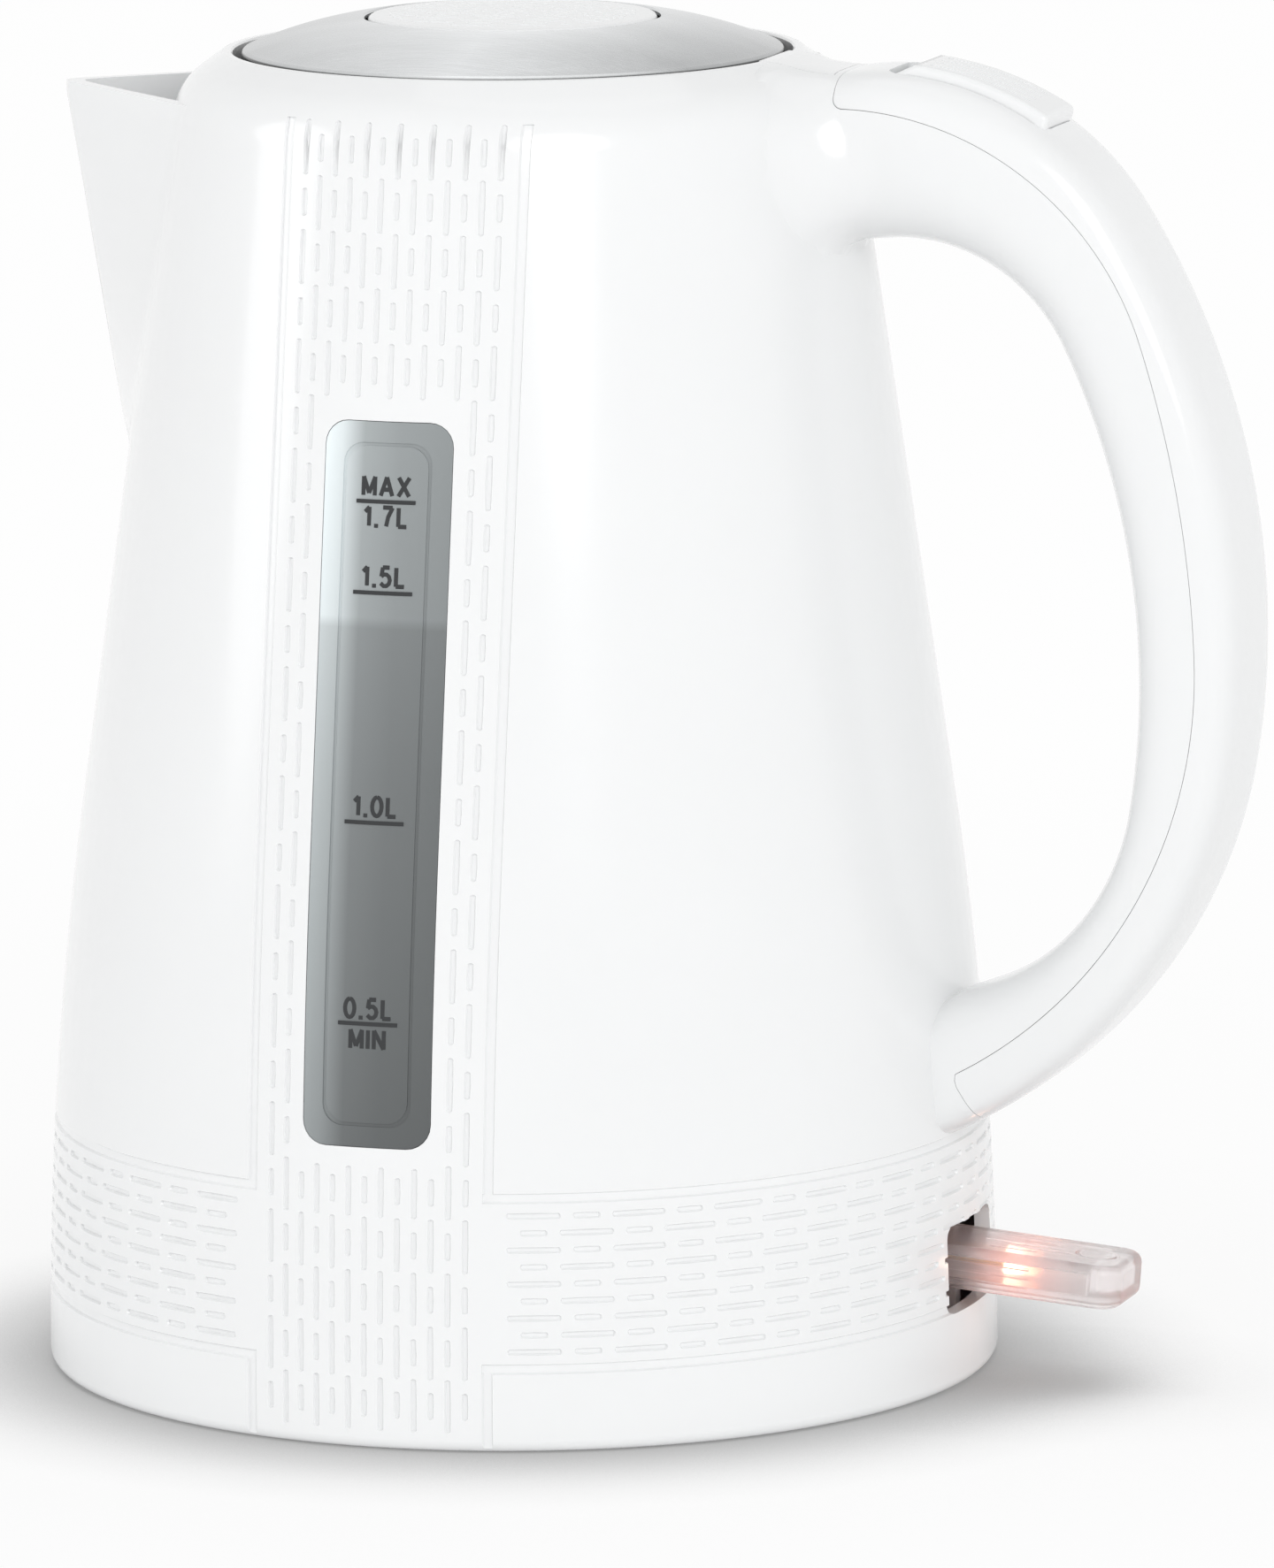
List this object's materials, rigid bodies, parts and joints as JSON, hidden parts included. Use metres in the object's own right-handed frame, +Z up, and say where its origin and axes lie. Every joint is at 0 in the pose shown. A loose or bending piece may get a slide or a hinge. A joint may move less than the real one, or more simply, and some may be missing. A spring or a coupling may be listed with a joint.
{
  "type": "electric kettle",
  "caption": "Tapered moulded jug kettle with a V-shaped pouring beak, level windows, hinged steel lid, lid button in an arched handle, lit switch lever and base socket.",
  "frame": {"origin": "on the jug's axis, at the level of the floor that it stands on, in the mouth of the base socket", "axes": "+X towards the handle, -X towards the pouring beak, +Y and -Y towards the level windows, +Z up"},
  "size_m": [0.2044, 0.157, 0.2231],
  "materials": {
    "white_gloss": "gloss",
    "white_satin": "satin",
    "window_clear": "gloss",
    "filter_plastic": "satin",
    "steel_cap": "brushed",
    "steel": "satin",
    "silicone": "matte",
    "inner_plastic": "satin",
    "aluminium": "satin",
    "control_plastic": "matte",
    "brass": "satin",
    "lever_clear": "frosted",
    "lamp_red": "gloss"
  },
  "bodies": {
    "jug": {"jug_body": "white_gloss", "jug_beak": "white_gloss", "handle_grip": "white_gloss", "handle_cover": "white_gloss", "base_cover": "white_satin", "water_window_front": "window_clear", "water_window_back": "window_clear", "filter_frame": "filter_plastic", "filter_mesh": "filter_plastic", "element_plate": "steel", "hinge_pin": "steel", "clamp_screws": "steel", "control_screws": "steel", "base_cover_screws": "steel", "housing_screws": "steel", "plate_clamp_ring": "steel", "button_spring": "steel", "latch_spring": "steel", "lid_spring": "steel", "toggle_spring": "steel", "heating_element": "steel", "element_seal": "silicone", "steam_tube_seal": "silicone", "steam_tube": "inner_plastic", "switch_housing": "inner_plastic", "heat_spreader": "aluminium", "control_body": "control_plastic", "contact_rings": "brass", "live_pin": "brass", "contact_blade": "brass", "dry_boil_discs": "brass", "steam_disc": "brass"},
    "lid": {"lid_shell": "white_gloss", "lid_cap": "steel_cap", "lid_disc": "white_satin", "lid_liner": "white_satin", "lid_seal": "silicone", "lid_screws": "steel"},
    "button": {"lid_button": "white_satin"},
    "latch": {"lid_latch": "inner_plastic"},
    "lever": {"switch_lever": "lever_clear", "lamp": "lamp_red", "lamp_leads": "brass"}
  },
  "joints": [
    {"name": "lid_hinge", "type": "hinge", "parent": "jug", "child": "lid", "pos_m": [0.05094, 0, 0.21404], "axis": [0, 1, 0], "range_deg": [0, 75]},
    {"name": "button_press", "type": "slide", "parent": "jug", "child": "button", "axis": [-0.2924, 0, -0.9563], "range_m": [0, 0.0025], "stiffness_N_per_m": 800, "springref_m": -0.002, "deforming": ["button_spring"]},
    {"name": "latch_slide", "type": "slide", "parent": "jug", "child": "latch", "axis": [1, 0, 0], "range_m": [0, 0.0017], "deforming": ["latch_spring"]},
    {"name": "switch_rocker", "type": "hinge", "parent": "jug", "child": "lever", "pos_m": [0.066, 0, 0.021], "axis": [0, -1, 0], "range_deg": [0, 9.4]}
  ],
  "couplings": [
    {"joint": "latch_slide", "follows": "button_press", "ratio": 0.66393}
  ]
}
